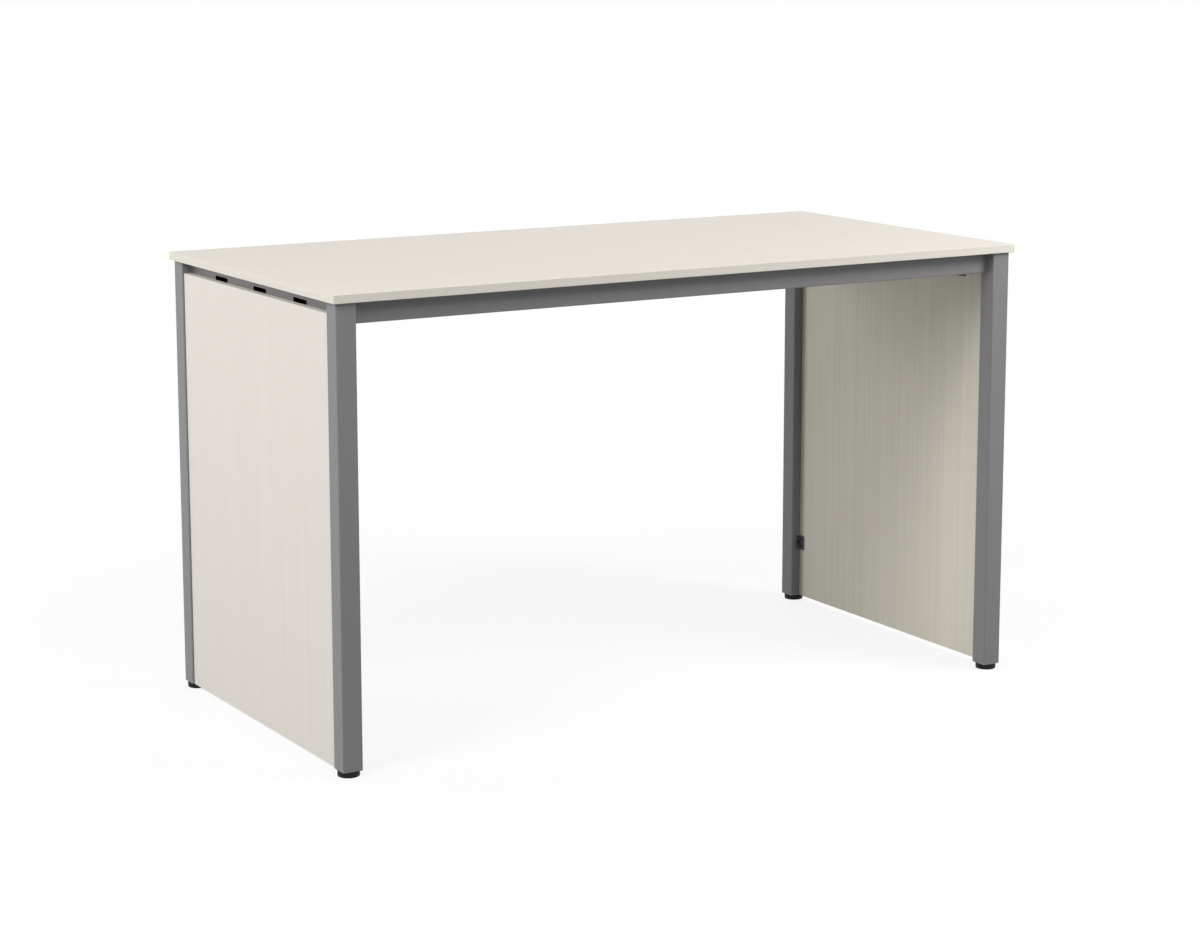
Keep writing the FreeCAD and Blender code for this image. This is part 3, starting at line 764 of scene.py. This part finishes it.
stems = [stem_piece(corner) for corner in CORNERS]
print("threaded stems:", len(stems), "with", len(stems[0].data.polygons), "faces each")

# %% [markdown]
# ## Glide pads
#
# The foot that meets the floor is a 50 mm nylon moulding with a soft edge below, a sharper one above and a fine
# witness line where the two halves of its mould met. It is round, so its outline is a profile that will be
# turned about the axis: across the sole, up the outside, in over the top and down into the socket that holds
# the stem's flange. The top gets many rings, because the next step lowers parts of it.

# %% Write the outline of the pad
PAD_RADIUS = 25.0
SOLE_ROUNDING, TOP_ROUNDING, OUTSIDE_STEPS = 3.0, 1.0, 6
WITNESS_SHARE = 0.52
WITNESS_HALF_HEIGHT, WITNESS_PROUD = 0.25, 0.08
RIM_INNER = 23.0
TOP_RINGS = np.linspace(22.6, 10.4, 22)
HUB_RADIUS = 10.0
NECK_HOLE_RADIUS, NECK_HOLE_ROUNDING, SOCKET_STEPS = 5.3, 0.5, 3
SOCKET_RADIUS, SOCKET_FLOOR, SOCKET_TOP = 8.3, 3.2, 6.8


def pad_profile(top):
    """The pad's outline from the middle of its sole, round the outside and down into the socket."""
    witness = top * WITNESS_SHARE
    outside = rounded_profile([
        (AXIS_RADIUS, 0.0, 0),
        (PAD_RADIUS, 0.0, SOLE_ROUNDING),
        (PAD_RADIUS, witness - WITNESS_HALF_HEIGHT, 0),
        (PAD_RADIUS + WITNESS_PROUD, witness, 0),
        (PAD_RADIUS, witness + WITNESS_HALF_HEIGHT, 0),
        (PAD_RADIUS, top, TOP_ROUNDING),
        (RIM_INNER, top, 0),
    ], OUTSIDE_STEPS)
    socket = rounded_profile([
        (HUB_RADIUS, top, 0),
        (NECK_HOLE_RADIUS, top, NECK_HOLE_ROUNDING),
        (NECK_HOLE_RADIUS, SOCKET_TOP, 0),
        (SOCKET_RADIUS, SOCKET_TOP, 0),
        (SOCKET_RADIUS, SOCKET_FLOOR, 0),
        (AXIS_RADIUS, SOCKET_FLOOR, 0),
    ], SOCKET_STEPS)
    return np.vstack([outside, [(radius, top) for radius in TOP_RINGS], socket])


print("pad:", 2 * PAD_RADIUS, "mm across, with", len(TOP_RINGS), "rings on its top")

# %% [markdown]
# ## Cored top
#
# A moulded pad isn't solid: its top is cored out between ribs, so that the plastic cools evenly. That could be
# cut with a Boolean modifier, but the surface is a table of heights already. It is enough to lower those of the
# top between the ribs, by an amount worked out from radius and angle.

# %% Make the moulded pads
PAD_RIBS = 8
RIB_HALF_WIDTH, RIB_FLANK = 0.9, 0.5
CORE_DEPTH = 1.6
CORE_INNER, CORE_OUTER, CORE_FLANK = 11.5, 21.5, 0.7
TOP_TOLERANCE = 0.01


def cored(radii, heights, top):
    """Lowers the top between the ribs.

    The ring between the hub and the rim is 1 well inside it and 0 outside, and a rib is 1 along each of its
    lines. A point of the top goes down by the core's depth, times the ring, times what the ribs leave over.
    """
    ring = np.clip(np.minimum(radii - CORE_INNER, CORE_OUTER - radii) / CORE_FLANK + 0.5, 0, 1)
    from_rib = np.abs(np.sin(RING_ANGLES * PAD_RIBS / 2)) * radii * 2 / PAD_RIBS
    rib = np.clip((RIB_HALF_WIDTH - from_rib) / RIB_FLANK + 0.5, 0, 1)
    return heights - np.where(heights > top - TOP_TOLERANCE, CORE_DEPTH * ring * (1 - rib), 0.0)


def pad_piece(corner):
    """One moulded pad, which replaces the plain CAD pad."""
    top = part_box("glide_pad_" + corner)[1].z / MM
    profile = pad_profile(top)
    radii = np.repeat(profile[:, :1], COLUMNS, axis=1)
    heights = np.repeat(profile[:, 1:], COLUMNS, axis=1)
    piece = ring_surface("moulded_pad_" + corner, radii, cored(radii, heights, top), leg_centres[corner])
    dress(piece, nylon)
    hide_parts("glide_pad_" + corner)
    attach(piece, "pad_" + corner)
    return piece


pads = [pad_piece(corner) for corner in CORNERS]
print("moulded pads:", len(pads), "with", len(pads[0].data.polygons), "faces each")

# %% [markdown]
# ## Lamps
#
# The light is soft, so it comes from large area lamps. In the photograph the left end is as bright as the worktop
# and evenly lit from top to bottom, so three lamps stand on the left: a strong one high up, a weak one half way
# down and one near the floor. Two hang over the front and back edges. Two on the right light the front right
# leg, and two at the back left reach under the worktop to the inside of the right panel. One more behind keeps
# the back from going dark. The satin worktop would mirror a lamp as a white patch in a view from the other
# side, so no lamp shows in gloss.

# %% Set up the lamps
# Each lamp: its place and target, in metres from the floor under the table's middle, its width, height and watts.
SOFTBOXES = {
    "overhead_back_softbox": ((0.2, 1.6, 3.2), (0.2, 0.2, 1.0), 3.6, 1.6, 12.0),
    "overhead_front_softbox": ((-0.8, -3.6, 3.4), (0.0, -0.4, 0.9), 2.4, 1.0, 28.0),
    "right_high_softbox": ((2.3, -2.3, 3.0), (0.9, -0.4, 0.8), 1.2, 1.2, 54.0),
    "right_leg_softbox": ((2.2, -1.9, 1.9), (0.9, -0.4, 0.7), 1.2, 1.2, 20.0),
    "left_high_softbox": ((-3.9, -1.6, 3.6), (-0.5, 0.0, 0.7), 1.4, 1.4, 103.0),
    "left_middle_softbox": ((-4.2, -1.9, 2.6), (0.4, -0.1, 0.4), 2.0, 2.0, 11.0),
    "left_floor_softbox": ((-3.2, -0.3, 0.15), (-0.9, -0.1, 0.15), 2.0, 0.5, 10.5),
    "back_left_low_softbox": ((-2.6, 3.6, 1.2), (0.9, 0.0, 0.4), 1.4, 1.0, 30.0),
    "back_left_high_softbox": ((-3.4, 3.0, 2.2), (0.9, 0.0, 0.4), 1.4, 1.4, 38.0),
    "back_softbox": ((2.6, 3.6, 1.7), (0.2, 0.2, 0.6), 2.4, 2.0, 70.0),
}


def softbox(name, place, target, width, height, power):
    """A rectangular area lamp that faces a target and doesn't show in gloss."""
    lamp = bpy.data.lights.new(name, "AREA")
    lamp.shape = "RECTANGLE"
    lamp.size, lamp.size_y, lamp.energy = width, height, power
    holder = bpy.data.objects.new(name, lamp)
    bpy.context.scene.collection.objects.link(holder)
    holder.location = place
    holder.rotation_euler = (Vector(target) - Vector(place)).to_track_quat("-Z", "Y").to_euler()
    holder.visible_glossy = False
    return holder


lamps = [softbox(name, *values) for name, values in SOFTBOXES.items()]
print("lamps:", [lamp.name for lamp in lamps])

# %% [markdown]
# ## Room
#
# The room around is a plain white. It shines only gently on the table, while the camera, and gloss and glass if
# there is any, see it at full white. The Light Path node tells these rays from the ones that gather light.

# %% Make the white room
ROOM_LIGHT = 0.12


def light_seen_or_shining(material):
    """1 where a ray comes from the camera, gloss or glass, and 0 where it gathers light for a surface."""
    path = add_node(material, "ShaderNodeLightPath")
    seen = calculated(material, "MAXIMUM", path.outputs["Is Camera Ray"], path.outputs["Is Glossy Ray"])
    return calculated(material, "MAXIMUM", seen, path.outputs["Is Transmission Ray"])


room = bpy.data.worlds.new("white_room")
room.use_nodes = True
room_shader = room.node_tree.nodes["Background"]
room_shader.inputs["Color"].default_value = (1.0, 1.0, 1.0, 1.0)
strength = spread_to(room, light_seen_or_shining(room), 0.0, 1.0, ROOM_LIGHT, 1.0)
wire(room, strength, room_shader.inputs["Strength"])
bpy.context.scene.world = room
print("room light:", ROOM_LIGHT)

# %% [markdown]
# ## Floor
#
# The table stands on a pale, endless floor. To the camera most of it is as clear as film over the white room, and
# the rest is a matt white that takes the table's soft shadow, fading out a few metres away so that no edge
# shows. For the light that bounces it is a plain matt floor, which brightens the underside of the table.

# %% Lay the floor
FLOOR_REACH = 30.0
FLOOR_DROP = 0.3
SHADOW_SHARE = 0.16
SHADOW_FADE_START, SHADOW_FADE_END = 1.2, 3.2
BOUNCE_GREY = 0.35


def floor_finish(name):
    """Matt for bounced light, and mostly clear to the camera: the clear share rises with distance."""
    material = bpy.data.materials.new(name)
    material.use_nodes = True
    material.node_tree.nodes.clear()
    matt = add_node(material, "ShaderNodeBsdfDiffuse")
    seen = light_seen_or_shining(material)
    wire(material, spread_to(material, seen, 0.0, 1.0, BOUNCE_GREY, 1.0), matt.inputs["Color"])
    clear = add_node(material, "ShaderNodeBsdfTransparent")
    mix = add_node(material, "ShaderNodeMixShader")
    output = add_node(material, "ShaderNodeOutputMaterial")
    place = add_node(material, "ShaderNodeTexCoord")
    distance = add_node(material, "ShaderNodeVectorMath", operation="LENGTH")
    wire(material, place.outputs["Object"], distance.inputs[0])
    clear_share = spread_to(material, distance.outputs["Value"], SHADOW_FADE_START, SHADOW_FADE_END,
                            1.0 - SHADOW_SHARE, 1.0)
    wire(material, calculated(material, "MULTIPLY", seen, clear_share), mix.inputs[0])
    wire(material, matt.outputs[0], mix.inputs[1])
    wire(material, clear.outputs[0], mix.inputs[2])
    wire(material, mix.outputs[0], output.inputs["Surface"])
    return material


floor_mesh = bpy.data.meshes.new("floor")
floor_corners = [
    (x * FLOOR_REACH, y * FLOOR_REACH, -FLOOR_DROP * MM) for x, y in ((-1, -1), (1, -1), (1, 1), (-1, 1))]
floor_mesh.from_pydata(floor_corners, [], [(0, 1, 2, 3)])
floor = bpy.data.objects.new("floor", floor_mesh)
bpy.context.scene.collection.objects.link(floor)
dress(floor, floor_finish("pale_floor"))
print("floor:", 2 * FLOOR_REACH, "m across")

# %% [markdown]
# ## Camera
#
# The photograph was taken from the front left, a little above the worktop, through a long lens. Its uprights stay
# parallel, which a view camera does by moving the lens and not tilting. Most of that is done here by a small
# tilt, and a small lens shift brings the table to its place in the frame. The place, the lens and the tilt were
# worked out from the table's own corners in the photograph.

# %% Set up the camera
CAMERA_PLACE = (-3.4413, -5.8349, 1.8633)
CAMERA_TURN = 30.749
CAMERA_TILT = 9.979
camera_data = bpy.data.cameras.new("photograph_camera")
camera_data.sensor_width = 36.0
camera_data.lens = 84.69
camera_data.shift_x = -0.0059
camera_data.shift_y = -0.045
camera_data.clip_end = 200.0
camera = bpy.data.objects.new("photograph_camera", camera_data)
camera.location = CAMERA_PLACE
camera.rotation_euler = (math.radians(90 - CAMERA_TILT), 0.0, math.radians(-CAMERA_TURN))
bpy.context.scene.collection.objects.link(camera)
bpy.context.scene.camera = camera
bpy.context.scene.view_settings.view_transform = "Standard"
print("camera at", CAMERA_PLACE, "with a", camera_data.lens, "mm lens")
